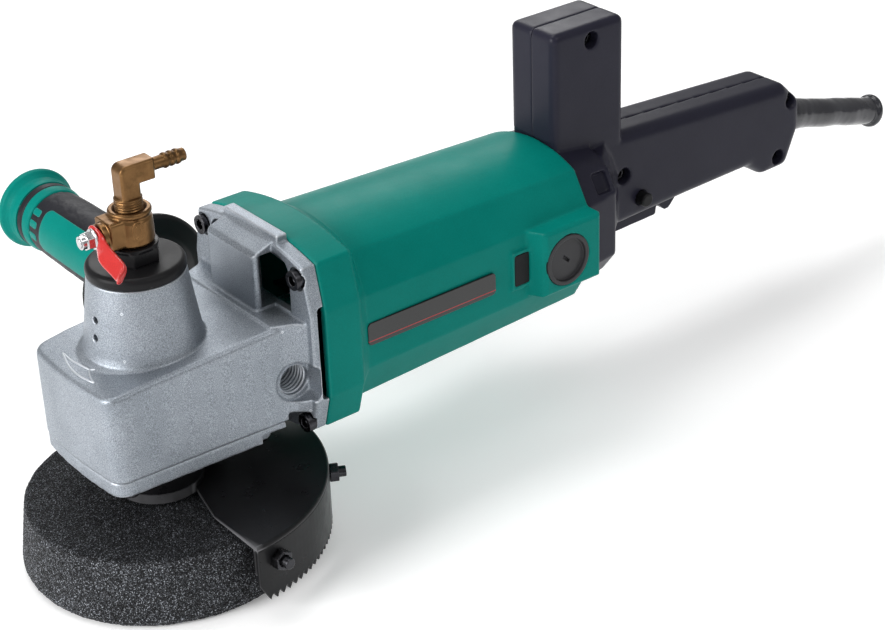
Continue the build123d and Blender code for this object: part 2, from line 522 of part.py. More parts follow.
# ---------------------------------------------------------------- auxiliary handle
def handle_parts():
    def spin(points):
        return spun_y(points, HANDLE_X, HANDLE_Z)

    add("handle_stud", rod_y(SIDE_THREAD_R - 0.05, 20, 68, HANDLE_X, HANDLE_Z))
    y0 = FAR_BOSS_Y + 0.05
    collar = spin([(y0, 0), (y0, 10.3), (48, 13.0), (66, 14.5), (76, 17), (81, 24), (83, 31.5), (84.4, 33.0),
                   (86.4, 33.0), (87.4, 31.5), (87.4, 0)])
    add("handle_collar", collar - rod_y(SIDE_THREAD_R, 20, 68.2, HANDLE_X, HANDLE_Z))
    core = spin([(87.5, 0), (87.5, 13.2), (168, 13.2), (168, 15.4), (171, 15.4), (171, 16.4), (175.5, 17.0),
                 (180, 17.4), (180, 16.2), (184, 16.4), (186, 18.4), (188.6, 20.0), (190.6, HANDLE_FLANGE_R),
                 (192.4, 19.4), (193.4, 16.0), (HANDLE_END_Y, 0)])
    sleeve = spin([(87.6, 0), (87.6, 15.2), (92, 16.2), (110, HANDLE_R + 0.4), (140, HANDLE_R + 0.2),
                   (166, HANDLE_R - 0.2), (167.8, HANDLE_R - 0.8), (167.8, 0)])
    sleeve = sleeve - rod_y(13.25, 70, 180, HANDLE_X, HANDLE_Z)
    panels = []
    for start in (90 + 38, -90 + 38):
        wedge = make_face(Plane.XZ * Polyline((0, 0), (-40 * cos(radians(40)), 40 * sin(radians(40))),
                                              (-40, 0), (-40 * cos(radians(24)), -40 * sin(radians(24))), close=True))
        wedge = Pos(0, 164, 0) * extrude(wedge, 70)
        wedge = Pos(HANDLE_X, 0, HANDLE_Z) * Rot(0, start - 128, 0) * wedge
        panels.append(wedge)
    panel_body = spin([(98, 0), (98, 16.2), (110, HANDLE_R + 0.3), (140, HANDLE_R + 0.1), (164, HANDLE_R - 0.3),
                       (164, 0)])
    core = core + [(panel_body & wedge) for wedge in panels]
    add("handle_core", core)
    add("handle_grip", sleeve - panels)


# ---------------------------------------------------------------- motor
def motor_housing():
    front = extrude(barrel_face(JOINT_X, *FLANGE_SHAPE), STEP_X - JOINT_X)
    ramp = loft([barrel_face(STEP_X, *shrunk(FLANGE_SHAPE, 0.6)), barrel_face(BODY_X, *FRONT_SHAPE)], ruled=True)
    barrel = loft([barrel_face(BODY_X, *FRONT_SHAPE), barrel_face(REAR_X, *REAR_SHAPE)], ruled=True)
    whole = front + ramp + barrel
    pad_z = 15.2
    for side in (-1, 1):
        pad_plan = [(174.5, side * 37.0), (180.0, side * BRUSH_PAD_Y), (213.6, side * BRUSH_PAD_Y),
                    (213.6, side * 33.0), (175.0, side * 33.0)]
        pad = plan_plate(pad_plan, MOTOR_Z - pad_z, MOTOR_Z + pad_z + 2)
        pad_edges = [e for e in pad.edges() if abs(abs(e.center().Y) - BRUSH_PAD_Y) < 0.1]
        pad = chamfer(pad_edges, 1.4)
        whole = whole + pad
        frame = block(166.0, 177.5, side * 38.6 - 1.6, side * 38.6 + 1.6, 80.5, 99.5)
        whole = whole + frame - block(167.6, 176.0, side * 40.5 - 3.0, side * 40.5 + 3.0, 82.2, 97.8)
    # inside: fan chamber, stator bore, commutator chamber, rear bearing seat
    fan_room = extrude(barrel_face(JOINT_X - 1, *shrunk(FLANGE_SHAPE, 4.0)), 19.5)
    cavity = loft([barrel_face(100, *shrunk(FRONT_SHAPE, 3.4)), barrel_face(203.6, *shrunk(REAR_SHAPE, 3.0))],
                  ruled=True)
    ribs = []
    for i in range(8):
        turn = Pos(0, 0, MOTOR_Z) * Rot(45 * i + 22.5, 0, 0)
        ribs.append((turn * block(STACK_X0 - 2, STACK_X1 + 2, STATOR_R, 50, -2, 2)) & cavity)
    holder_bosses = [rod_y(11.4, side * 32 - 12, side * 32 + 12, BRUSH_X, MOTOR_Z) & cavity for side in (-1, 1)]
    whole = whole - fan_room - rod_x(36.4, JOINT_X, 106) - cavity + ribs + holder_bosses
    whole = whole - rod_x(STATOR_R, 100, STACK_X1 + 1)
    whole = whole - rod_x(15.0, 200, 212.6) - rod_x(8.0, 200, REAR_X + 1)
    for i in range(6):
        angle = radians(60 * i)
        whole = whole - rod_x(5.2, 200, REAR_X + 1, 25.0 * cos(angle), MOTOR_Z + 25.0 * sin(angle))
    # brush holder bores with the recess for the caps
    for side in (-1, 1):
        whole = whole - rod_y(9.4, side * 30 - 15, side * 30 + 15, BRUSH_X, MOTOR_Z)
        whole = whole - rod_y(BRUSH_CAP_R + 0.1, side * 48 - 5.0, side * 48 + 5.0, BRUSH_X, MOTOR_Z)
    # flange screw holes
    for y, z in FLANGE_SCREWS:
        whole = whole - rod_x(2.5, JOINT_X - 1, STEP_X - 3, y, z)
    return whole


def coil(sign):
    """One field coil: two legs in the stator's slots and two end turns."""
    def sector(a0, a1, r0, r1, x0, x1):
        ring = ring_x(r1, r0, x0, x1)
        mid = radians((a0 + a1) / 2)
        half = radians((a1 - a0) / 2)
        far = 60
        points = [(0, 0), (far * cos(mid - half), far * sin(mid - half)),
                  (far * cos(mid) * 1.4, far * sin(mid) * 1.4), (far * cos(mid + half), far * sin(mid + half))]
        plane = Plane(origin=(x0 - 1, 0, MOTOR_Z), x_dir=(0, 1, 0), z_dir=(1, 0, 0))
        wedge = extrude(plane * make_face(Polyline(*points, close=True)), x1 - x0 + 2)
        return ring & wedge
    end = 9.0
    x0, x1 = STACK_X0, STACK_X1
    centre = 90.0 * sign
    legs = [sector(centre + a, centre + b, 24.4, 29.4, x0 - end, x1 + end) for a, b in ((-58, -36), (36, 58))]
    turns = [sector(centre - 50, centre + 50, 24.4, 29.4, x, x + end - 0.4) for x in (x0 - end, x1 + 0.4)]
    return join(legs + turns)


def motor_parts():
    add("motor_housing", motor_housing())
    stator = ring_x(STATOR_R - RUN, BORE_R, STACK_X0, STACK_X1)
    for sign in (-1, 1):
        for a in (-47, 47):
            angle = radians(90 * sign + a)
            slot = Pos(0, 0, MOTOR_Z) * Rot(degrees(angle), 0, 0) * block(0, 300, 24.2, 29.7, -6.6, 6.6)
            stator = stator - slot
    coils = [coil(1), coil(-1)]
    for one in coils:
        stator = stator - one
    add("stator_core", stator)
    add("field_coils", coils)
    shaft = spun_x([(14.2, 0), (14.2, 3.4), (14.8, 3.95), (30.6, 3.95), (30.6, SHAFT_R), (57.4, SHAFT_R),
                    (57.4, 7.0),
                    (203.8, 7.0), (203.8, 5.0), (212.4, 5.0), (212.4, 0)])
    add("armature_shaft", shaft)
    slots = 12
    core = ring_x(ARMATURE_R, 7.0, STACK_X0, STACK_X1)
    winding_bars = []
    for i in range(slots):
        turn = Pos(0, 0, MOTOR_Z) * Rot(360.0 * i / slots, 0, 0)
        core = core - turn * block(STACK_X0 - 1, STACK_X1 + 1, -2.3, 2.3, 12.0, 19.0)
        core = core - turn * block(STACK_X0 - 1, STACK_X1 + 1, -0.8, 0.8, 18.0, 22.0)
        winding_bars.append(turn * block(STACK_X0 - 2, STACK_X1 + 2, -2.25, 2.25, 12.05, 18.9))
    add("armature_core", core)
    ends = [spun_x([(STACK_X0 - 12, 7.1), (STACK_X0 - 12, 13), (STACK_X0 - 9, 17.5), (STACK_X0 - 0.1, 18.9),
                    (STACK_X0 - 0.1, 7.1)]),
            spun_x([(STACK_X1 + 0.1, 7.1), (STACK_X1 + 0.1, 18.9), (STACK_X1 + 9, 17.5), (STACK_X1 + 13, 12.6),
                    (STACK_X1 + 13, 7.1)])]
    add("armature_windings", join(ends) + winding_bars)
    bars = 24
    commutator = ring_x(COMMUTATOR_R, 7.0, 184, 202) + ring_x(COMMUTATOR_R + 1.6, 7.0, 182, 185)
    for i in range(bars):
        turn = Pos(0, 0, MOTOR_Z) * Rot(360.0 * i / bars, 0, 0)
        commutator = commutator - turn * block(181, 203, -0.25, 0.25, COMMUTATOR_R - 1.0, COMMUTATOR_R + 3)
    add("commutator", commutator)
    hub = spun_x([(84, 7.0), (84, 12), (96, 14), (97.5, 33.4), (99.5, 33.4), (99.5, 7.0)])
    blades = []
    for i in range(11):
        turn = Pos(0, 0, MOTOR_Z) * Rot(360.0 * i / 11, 0, 0)
        blades.append(turn * block(86, 98, -0.9, 0.9, 12, 33.2))
    add("fan", hub + blades)
    baffle = ring_x(36.35, 24.0, 101.4, 103.0) + ring_x(26.0, 24.0, 101.4, 105.0)
    add("fan_baffle", baffle)


def brush_parts():
    holders, brushes, springs, caps = [], [], [], []
    for side in (-1, 1):
        turn = Pos(BRUSH_X, 0, MOTOR_Z) * Rot(-90 * side, 0, 0)
        tube = rod_z(9.3, COMMUTATOR_R + 4, 40) - block(-4.1, 4.1, -3.3, 3.3, COMMUTATOR_R, 41)
        holders.append(turn * tube)
        brush = block(-4.0, 4.0, -3.2, 3.2, COMMUTATOR_R + GAP, COMMUTATOR_R + 17)
        brushes.append(turn * brush)
        spring = ring_z(2.8, 1.6, COMMUTATOR_R + 17.1, 40.5)
        springs.append(turn * spring)
        cap = rod_z(BRUSH_CAP_R, 43.2, 45.4) + rod_z(9.0, 40.6, 43.3)
        cap = cap + ring_z(BRUSH_CAP_R, BRUSH_CAP_R - 2.0, 45.2, 47.2) - block(-2.4, 2.4, -0.7, 0.7, 44.0, 48)
        caps.append(turn * Rot(0, 0, -45) * cap)
    add("brush_holders", holders)
    add("carbon_brushes", brushes)
    add("brush_springs", springs)
    add("brush_caps", caps)


def trim_parts():
    plates = []
    for side in (-1, 1):
        slab = block(LABEL_X0, LABEL_X0 + LABEL_LEN, side * 39.6 - 0.55, side * 39.6 + 0.55, 83.2, 94.0)
        slab = fillet(slab.edges().filter_by(Axis.Y), 2.0)
        plates.append(slab)
    barrel = loft([barrel_face(BODY_X, *FRONT_SHAPE), barrel_face(REAR_X, *REAR_SHAPE)], ruled=True)
    add("label_plates", [(plate - barrel) for plate in plates])
    inserts = []
    for side in (-1, 1):
        inserts.append(block(167.7, 175.9, side * 38.9 - 1.1, side * 38.9 + 1.1, 82.3, 97.7))
    add("terminal_covers", inserts)


# ---------------------------------------------------------------- rear shells
SHELL_SCREWS = [(236.0, 175.6, 13.4), (257.2, 100.5, 14.5), (373.0, 106.0, 13.4), (365.0, 77.0, 13.4)]
TRIGGER_PIVOT = (262.0, 80.5)
LOCK_BUTTON = (268.6, 85.6)
SWITCH_Z = 91.5         # underside of the switch
SPRING_H = 7.6


def casing_solid(t):
    x0 = REAR_X + 0.1 - t
    front = barrel_face(x0, *shrunk(CASING_SHAPE, t))
    rear = barrel_face(CASING_END_X, *shrunk(CASING_SHAPE, t + 2.6))
    return loft([front, rear], ruled=True)


def neck_solid(t):
    def ring(x, w, z_side, w_corner, z_top, z_low):
        plane = Plane(origin=(x, 0, MOTOR_Z), x_dir=(0, 1, 0), z_dir=(1, 0, 0))
        return plane * make_face(Polyline((-w, -z_side), (-w, z_side), (-w_corner, z_top), (w_corner, z_top),
                                          (w, z_side), (w, -z_side), (w_corner, z_low), (-w_corner, z_low),
                                          close=True))
    sections = [ring(CASING_END_X - 0.1, 34.6 - t, 15.0, 25.5 - t, 31.0 - t, -26.0 + t),
                ring(244.0, 22.5 - t, 14.5, 15.5 - t, 32.0 - t, -21.0 + t),
                ring(NECK_END_X, GRIP_HALF_W - t, 12.5, 11.0 - t, 32.5 - t, -16.5 + t)]
    return loft(sections, ruled=True)


def box_solid(t):
    solid = block(BOX_X0 + t, BOX_X1 - t, -BOX_HALF_W + t, BOX_HALF_W - t, 110 + t, BOX_TOP_Z - t)
    edges = solid.edges().filter_by(Axis.Z) + solid.faces().sort_by(Axis.Z)[-1].edges()
    return fillet(edges, 3.4 - t * 0.7)


def grip_solid(t):
    points = [(246 + t, 123.4 - t), (369, 115.9 - t), (381.0 - t, 104.5), (381.8 - t, 90.0), (373.0 - t, 69.6 + t),
              (356.0 + t, 69.2 + t), (345.5 + t, 76.8 + t), (300.0, 76.0 + t), (246 + t, 74.0 + t)]
    face = make_face(Plane.XZ * Polyline(*points, close=True))
    rounded = [v for v in face.vertices() if v.X > 340]
    face = fillet(rounded, 5.0)
    solid = extrude(face, GRIP_HALF_W - t, both=True)
    edges = [e for e in solid.edges() if abs(abs(e.center().Y) - (GRIP_HALF_W - t)) < 0.05 and e.center().X > 249]
    return fillet(edges, 6.2 - t)


def rear_outer(t):
    return casing_solid(t) + neck_solid(t) + box_solid(t) + grip_solid(t)


def boot_place():
    return Pos(383.0, 0, 91.0) * Rot(0, 90 + BOOT_DROOP, 0)


def rear_shells():
    shell = rear_outer(0.0) - rear_outer(SHELL_T)
    bosses = []
    for x, z, half_w in SHELL_SCREWS:
        bosses.append(rod_y(5.6, -half_w, half_w, x, z))
    trim = casing_solid(0.3) + neck_solid(0.3) + box_solid(0.3) + grip_solid(0.3)
    shell = shell + [(boss & trim) for boss in bosses]
    # clear of the motor housing's vents and of the rear bearing
    shell = shell - block(REAR_X - 10, REAR_X + 0.05, -60, 60, 40, 129.8)
    # trigger opening, lock button hole, boot socket
    shell = shell - block(258.6, 304.5, -6.3, 6.3, 60, 79.6)
    shell = shell - rod_y(3.6, -20, -8, *LOCK_BUTTON)
    shell = shell - boot_place() * rod_z(8.55, -14, 12) - boot_place() * rod_z(10.25, -14, -6.35)
    # catches on the casing's upper facets
    for side in (-1, 1):
        facet = Pos(227.5, side * 32.4, 112.8) * Rot(side * 30.5, 0, 0)
        shell = shell + facet * Pos(0, -side * 3.4, 0) * Box(13.0, 5.6, 14.5)
        shell = shell - facet * Box(8.6, 7.0, 10.0)
    for x, z, half_w in SHELL_SCREWS:
        shell = shell - rod_y(2.0, -half_w + 2, half_w - 4.0, x, z) - rod_y(4.1, -45, -half_w + 5.5, x, z)
    left = shell & block(180, 420, 0.0, 60, 30, 200)
    right = shell & block(180, 420, -60, 0.0, 30, 200)
    return left, right


def rear_parts():
    left, right = rear_shells()
    add("rear_shell_left", left)
    add("rear_shell_right", right)
    screws = []
    for x, z, half_w in SHELL_SCREWS:
        length = 2 * half_w - 10.5
        screw = Rot(90, 0, 0) * socket_screw(3.8, 2.6, 1.9, length)
        screws.append(Pos(x, -half_w + 5.5, z) * screw)
    add("shell_screws", screws)
    tx, tz = TRIGGER_PIVOT
    profile = [(tx - 2.6, tz + 2.4), (tx + 27, tz + 3.0), (tx + 41.5, tz - 1.5), (tx + 41.5, tz - 6.0),
               (tx + 36.2, tz - 11.6), (tx + 34.6, tz - 13.0), (tx + 32.0, tz - 13.2), (tx + 28.0, tz - 9.4),
               (tx + 26.2, tz - 9.6), (tx + 25.8, tz - 13.2), (tx + 24.6, tz - 13.8), (tx - 1.2, tz - 14.4),
               (tx - 2.6, tz - 13.0)]
    trigger = side_profile(profile, 5.9)
    trigger = trigger - rod_y(1.55, -10, 10, tx, tz)
    add("trigger", trigger)
    pin = rod_y(1.5, -12.0, 12.0, tx, tz)
    add("trigger_pin", pin)
    spring = ring_z(3.0, 2.0, 0, SPRING_H)
    add("trigger_spring", Pos(tx + 23, 0, SWITCH_Z - 0.1 - SPRING_H) * spring)
    switch = block(274.0, 303.0, -9.0, 9.0, SWITCH_Z, 109.0)
    add("switch_body", switch)
    button = rod_y(3.55, -20.4, -9.4, *LOCK_BUTTON) + rod_y(4.8, -12.4, -9.4, *LOCK_BUTTON)
    button = chamfer(button.faces().sort_by(Axis.Y)[0].edges(), 0.7)
    add("lock_button", button)
    module = block(217.5, 251.0, -12.85, 12.85, 133.0, 168.0)
    module = fillet(module.edges().filter_by(Axis.Z), 2.0)
    add("soft_start_module", module)
    boot = spun_z([(CORD_R, -10), (10.2, -10), (10.2, -6.4), (8.5, -6.4), (8.5, 6), (7.9, 12), (7.2, BOOT_LEN - 4),
                   (8.8, BOOT_LEN - 3), (8.8, BOOT_LEN - 0.6), (8.2, BOOT_LEN), (CORD_R, BOOT_LEN)])
    add("cord_boot", boot_place() * boot)
    clamp = block(345, 357, -12.95, 12.95, 84.0, 88.5) - rod_x(CORD_R, 340, 360, 0, 89.5)
    add("cord_clamp", clamp)


# ---------------------------------------------------------------- assembly
def build_all():
    add("gear_housing", gear_housing())
    add("bearing_cover", bearing_cover())
    add("head_screws", head_screws())
    water_parts()
    valve_parts()
    add("hose_elbow", hose_elbow())
    bevel_parts()
    spindle_parts()
    z0, z1, r = LOWER_BEARING
    add("lower_spindle_bearing", Pos(0, 0, (z0 + z1) / 2) * ball_bearing(7.5 + RUN, r - RUN, z1 - z0, 9))
    z0, z1, r = UPPER_BEARING
    add("upper_spindle_bearing", Pos(0, 0, (z0 + z1) / 2) * ball_bearing(5.0 + RUN, r - RUN, z1 - z0, 8))
    x0, x1, r = PINION_BEARING
    add("pinion_bearing", Pos((x0 + x1) / 2, 0, MOTOR_Z) * Rot(0, 90, 0)
        * ball_bearing(SHAFT_R + RUN, r - RUN, x1 - x0, 8))
    add("bearing_retainer", ring_x(r - RUN, 9.0, x1 + 0.05, x1 + 2.8))
    add("rear_bearing", Pos(208.2, 0, MOTOR_Z) * Rot(0, 90, 0) * ball_bearing(5.0 + RUN, 15.0 - RUN, 8.6, 8))
    guard_parts()
    handle_parts()
    motor_parts()
    brush_parts()
    trim_parts()
    rear_parts()


def flat_solids(shape):
    shapes = shape if isinstance(shape, (list, tuple)) else [shape]
    solids = []
    for one in shapes:
        solids.extend(one.solids())
    return solids


if __name__ == "__main__":
    build_all()
    os.makedirs("parts", exist_ok=True)
    for name, shape in PARTS.items():
        solids = flat_solids(shape)
        whole = solids[0] if len(solids) == 1 else Compound(children=solids)
        export_step(whole, "parts/" + name + ".step")
        print(name, len(solids), round(sum(s.volume for s in solids)))
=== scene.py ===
import json
import math
import random

import bmesh
import bpy
from mathutils import Matrix, Vector, noise


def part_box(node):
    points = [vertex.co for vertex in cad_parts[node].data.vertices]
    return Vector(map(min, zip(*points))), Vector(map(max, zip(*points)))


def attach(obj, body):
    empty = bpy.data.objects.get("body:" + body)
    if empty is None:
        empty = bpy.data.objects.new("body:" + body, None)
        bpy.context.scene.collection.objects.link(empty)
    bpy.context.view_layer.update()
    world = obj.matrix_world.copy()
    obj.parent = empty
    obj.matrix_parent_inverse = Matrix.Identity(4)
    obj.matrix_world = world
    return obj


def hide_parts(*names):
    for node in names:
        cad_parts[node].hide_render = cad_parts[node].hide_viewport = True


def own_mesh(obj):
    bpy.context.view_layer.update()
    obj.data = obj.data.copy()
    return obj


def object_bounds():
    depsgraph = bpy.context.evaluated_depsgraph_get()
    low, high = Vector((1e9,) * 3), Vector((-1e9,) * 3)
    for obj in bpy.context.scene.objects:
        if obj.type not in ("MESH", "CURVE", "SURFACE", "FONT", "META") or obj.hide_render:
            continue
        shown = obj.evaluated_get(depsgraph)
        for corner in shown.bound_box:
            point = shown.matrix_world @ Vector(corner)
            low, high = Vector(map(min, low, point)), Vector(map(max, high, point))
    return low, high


# Hand-held wet stone grinder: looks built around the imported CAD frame. Metres in the scene, and
# millimetres in every table of points below.
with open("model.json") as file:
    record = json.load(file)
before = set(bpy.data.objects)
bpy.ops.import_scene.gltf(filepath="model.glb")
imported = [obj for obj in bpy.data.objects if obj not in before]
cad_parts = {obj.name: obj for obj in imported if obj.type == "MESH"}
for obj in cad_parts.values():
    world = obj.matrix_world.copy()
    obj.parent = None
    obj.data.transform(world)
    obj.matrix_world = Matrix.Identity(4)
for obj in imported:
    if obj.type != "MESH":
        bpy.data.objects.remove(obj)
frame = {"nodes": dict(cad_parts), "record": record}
cad_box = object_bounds()
nodes = frame["nodes"]
MM = 0.001


# ---------------------------------------------------------------- camera, light, floor
def camera():
    """The camera, with its focal length and optical centre in pixels of an 885 by 630 image."""
    position = Vector((-354.7156, -664.5268, 520.4088)) * MM
    azimuth, elevation, roll = (math.radians(v) for v in (-38.2356, 28.6313, -1.81436))
    focal_px, centre_px, width_px, height_px = 2051.41, (463.175, 301.136), 885.0, 630.0
    back = Vector((math.sin(azimuth) * math.cos(elevation), -math.cos(azimuth) * math.cos(elevation),
                   math.sin(elevation)))
    right = (-back).cross(Vector((0, 0, 1))).normalized()
    up = right.cross(-back)
    right_rolled = right * math.cos(roll) + up * math.sin(roll)
    up_rolled = up * math.cos(roll) - right * math.sin(roll)
    data = bpy.data.cameras.new("camera")
    data.sensor_width = 36.0
    data.lens = focal_px * data.sensor_width / width_px
    data.shift_x = (width_px / 2 - centre_px[0]) / width_px
    data.shift_y = (centre_px[1] - height_px / 2) / width_px
    data.clip_start, data.clip_end = 0.02, 30.0
    made = bpy.data.objects.new("camera", data)
    made.matrix_world = Matrix.Translation(position) @ Matrix(
        (right_rolled, up_rolled, back)).transposed().to_4x4()
    bpy.context.scene.collection.objects.link(made)
    bpy.context.scene.camera = made


def area_light(name, position, target, size, power):
    data = bpy.data.lights.new(name, "AREA")
    data.shape = "RECTANGLE"
    data.size, data.size_y = size
    data.energy = power
    made = bpy.data.objects.new(name, data)
    made.location = position
    made.rotation_mode = "QUATERNION"
    made.rotation_quaternion = (Vector(target) - Vector(position)).to_track_quat("-Z", "Y")
    bpy.context.scene.collection.objects.link(made)


def studio():
    """Four soft lights, an even pale surround and a wide pale floor under the object."""
    middle = (0.15, 0.0, 0.08)
    area_light("key", (-1.5, 0.15, 0.75), middle, (1.0, 0.8), 25.0)
    area_light("top", (0.1, 0.5, 1.6), middle, (1.2, 0.5), 9.0)
    area_light("front", (0.45, -1.2, 1.4), middle, (1.0, 0.5), 5.5)
    area_light("rear", (0.9, 1.3, 0.9), middle, (1.0, 0.6), 7.0)
    world = bpy.data.worlds.new("studio")
    world.use_nodes = True
    world.node_tree.nodes["Background"].inputs["Color"].default_value = (1, 1, 1, 1)
    world.node_tree.nodes["Background"].inputs["Strength"].default_value = 0.34
    bpy.context.scene.world = world
    floor = bpy.data.meshes.new("floor")
    reach = 12.0
    low = cad_box[0].z
    floor.from_pydata([(-reach, -reach, low), (reach, -reach, low), (reach, reach, low), (-reach, reach, low)],
                      [], [(0, 1, 2, 3)])
    made = bpy.data.objects.new("floor", floor)
    bpy.context.scene.collection.objects.link(made)
    made.data.materials.append(plain_floor())


# ---------------------------------------------------------------- materials
class Look:
    """A Principled material with helpers for the procedural nodes in front of it."""

    def __init__(self, name, roughness=0.5, metallic=0.0, coat=0.0, coat_roughness=0.1, level=0.5):
        self.mat = bpy.data.materials.new(name)
        self.mat.use_nodes = True
        self.tree = self.mat.node_tree
        self.shader = self.tree.nodes["Principled BSDF"]
        self.set("Roughness", roughness)
        self.set("Metallic", metallic)
        self.set("Coat Weight", coat)
        self.set("Coat Roughness", coat_roughness)
        self.set("Specular IOR Level", level)
        self.place = self.add("ShaderNodeTexCoord").outputs["Object"]

    def add(self, kind, **values):
        node = self.tree.nodes.new(kind)
        for key, value in values.items():
            setattr(node, key, value)
        return node

    def link(self, a, b):
        self.tree.links.new(a, b)

    def set(self, key, value):
        self.shader.inputs[key].default_value = value

    def use(self, key, socket):
        self.link(socket, self.shader.inputs[key])

    def noise(self, scale, detail=2.0, rough=0.5, stretch=None):
        node = self.add("ShaderNodeTexNoise")
        node.inputs["Scale"].default_value = scale
        node.inputs["Detail"].default_value = detail
        node.inputs["Roughness"].default_value = rough
        self.link(self.stretched(stretch) if stretch else self.place, node.inputs["Vector"])
        return node.outputs["Fac"]

    def stretched(self, scale):
        node = self.add("ShaderNodeMapping")
        node.inputs["Scale"].default_value = scale
        self.link(self.place, node.inputs["Vector"])
        return node.outputs["Vector"]

    def cells(self, scale, feature="F1", output="Color"):
        node = self.add("ShaderNodeTexVoronoi", feature=feature)
        node.inputs["Scale"].default_value = scale
        self.link(self.place, node.inputs["Vector"])
        return node.outputs[output]

    def ramp(self, fac, stops):
        """Colours, or grey values given as floats, between the stops."""
        node = self.add("ShaderNodeValToRGB")
        points = node.color_ramp.elements
        while len(points) < len(stops):
            points.new(0.5)
        for point, (place, value) in zip(points, stops):
            point.position = place
            point.color = (value, value, value, 1) if isinstance(value, float) else (*value, 1)
        self.link(fac, node.inputs["Fac"])
        return node.outputs["Color"]

    def mix(self, fac, a, b, mode="MIX"):
        node = self.add("ShaderNodeMix", data_type="RGBA", blend_type=mode)
        for key, value in ((0, fac), (6, a), (7, b)):
            if hasattr(value, "links"):
                self.link(value, node.inputs[key])
            elif isinstance(value, tuple):
                node.inputs[key].default_value = (*value, 1)
            else:
                node.inputs[key].default_value = value
        return node.outputs[2]

    def math(self, op, a, b):
        node = self.add("ShaderNodeMath", operation=op)
        for key, value in ((0, a), (1, b)):
            if hasattr(value, "links"):
                self.link(value, node.inputs[key])
            else:
                node.inputs[key].default_value = value
        return node.outputs[0]

    def span(self, fac, low, high, start=0.3, end=0.7):
        """low to high as fac goes from start to end."""
        node = self.add("ShaderNodeMapRange")
        for key, value in (("From Min", start), ("From Max", end), ("To Min", low), ("To Max", high)):
            node.inputs[key].default_value = value
        self.link(fac, node.inputs["Value"])
        return node.outputs["Result"]

    def edges(self, low, high):
        """1 on convex edges, 0 elsewhere and on lone points."""
        point = self.add("ShaderNodeNewGeometry").outputs["Pointiness"]
        lone_from, lone_to = 0.60, 0.65
        return self.math("MULTIPLY", self.span(point, 0.0, 1.0, low, high),
                         self.span(point, 1.0, 0.0, lone_from, lone_to))

    def height(self):
        """The place's height, in metres."""
        node = self.add("ShaderNodeSeparateXYZ")
        self.link(self.place, node.inputs["Vector"])
        return node.outputs["Z"]

    def bump(self, height, strength, depth, under=None):
        node = self.add("ShaderNodeBump")
        node.inputs["Strength"].default_value = strength
        node.inputs["Distance"].default_value = depth
        self.link(height, node.inputs["Height"])
        if under:
            self.link(under, node.inputs["Normal"])
        self.link(node.outputs["Normal"], self.shader.inputs["Normal"])
        return node.outputs["Normal"]


def plain_floor():
    look = Look("floor_paper", 0.9, level=0.1)
    look.use("Base Color", look.ramp(look.noise(3.0, 3), [(0.3, 0.93), (0.7, 0.95)]))
    look.set("Emission Color", (1, 1, 1, 1))
    look.set("Emission Strength", 0.20)
    return look.mat


def scaled(colour, factor):
    return tuple(c * factor for c in colour)


def cast_alloy():
    """Blasted light alloy: fine bright and dark grains, and a painted highlight along convex edges."""
    look = Look("cast_alloy_sand", metallic=0.80, level=0.35)
    fine = look.noise(2600.0, 2, 0.6)
    broad = look.noise(45.0, 4, 0.55)
    base = look.ramp(broad, [(0.3, (0.27, 0.30, 0.335)), (0.7, (0.34, 0.37, 0.41))])
    speck = look.ramp(fine, [(0.30, 0.40), (0.5, 1.0), (0.72, 1.75)])
    base = look.mix(0.75, base, speck, "MULTIPLY")
    # painted highlight: convex edges are mixed towards a pale grey
    base = look.mix(look.edges(0.515, 0.585), base, (0.72, 0.75, 0.79))
    look.use("Base Color", base)
    look.use("Roughness", look.span(look.noise(1400.0, 2), 0.36, 0.54))
    under = look.bump(look.noise(140.0, 3), 0.12, 0.0006)
    look.bump(fine, 0.30, 0.00028, under)
    return look.mat


def moulded(name, colour, roughness, strength=0.35, lighten=0.25, coat=0.0, level=0.3):
    """Moulded plastic: a fine texture of the given strength, and edges that turn lighter."""
    look = Look(name, roughness, coat=coat, level=level)
    grain, spread = 1900.0, 0.07
    broad = look.noise(22.0, 4, 0.6)
    light = tuple(min(1.0, c * (1 + spread) + 0.002) for c in colour)
    base = look.ramp(broad, [(0.3, scaled(colour, 1 - spread)), (0.7, light)])
    base = look.mix(0.5, base, look.ramp(look.noise(grain * 0.8, 2), [(0.3, 0.88), (0.7, 1.12)]), "MULTIPLY")
    worn = tuple(c + (0.75 - c) * lighten for c in colour)
    base = look.mix(look.math("MULTIPLY", look.edges(0.53, 0.64), 0.5), base, worn)
    look.use("Base Color", base)
    look.use("Roughness", look.span(look.noise(60.0, 5, 0.65), roughness - 0.05, roughness + 0.07))
    under = look.bump(look.noise(60.0, 1), 0.05, 0.0003)
    look.bump(look.noise(grain, 2, 0.6), strength, 0.00006, under)
    return look.mat


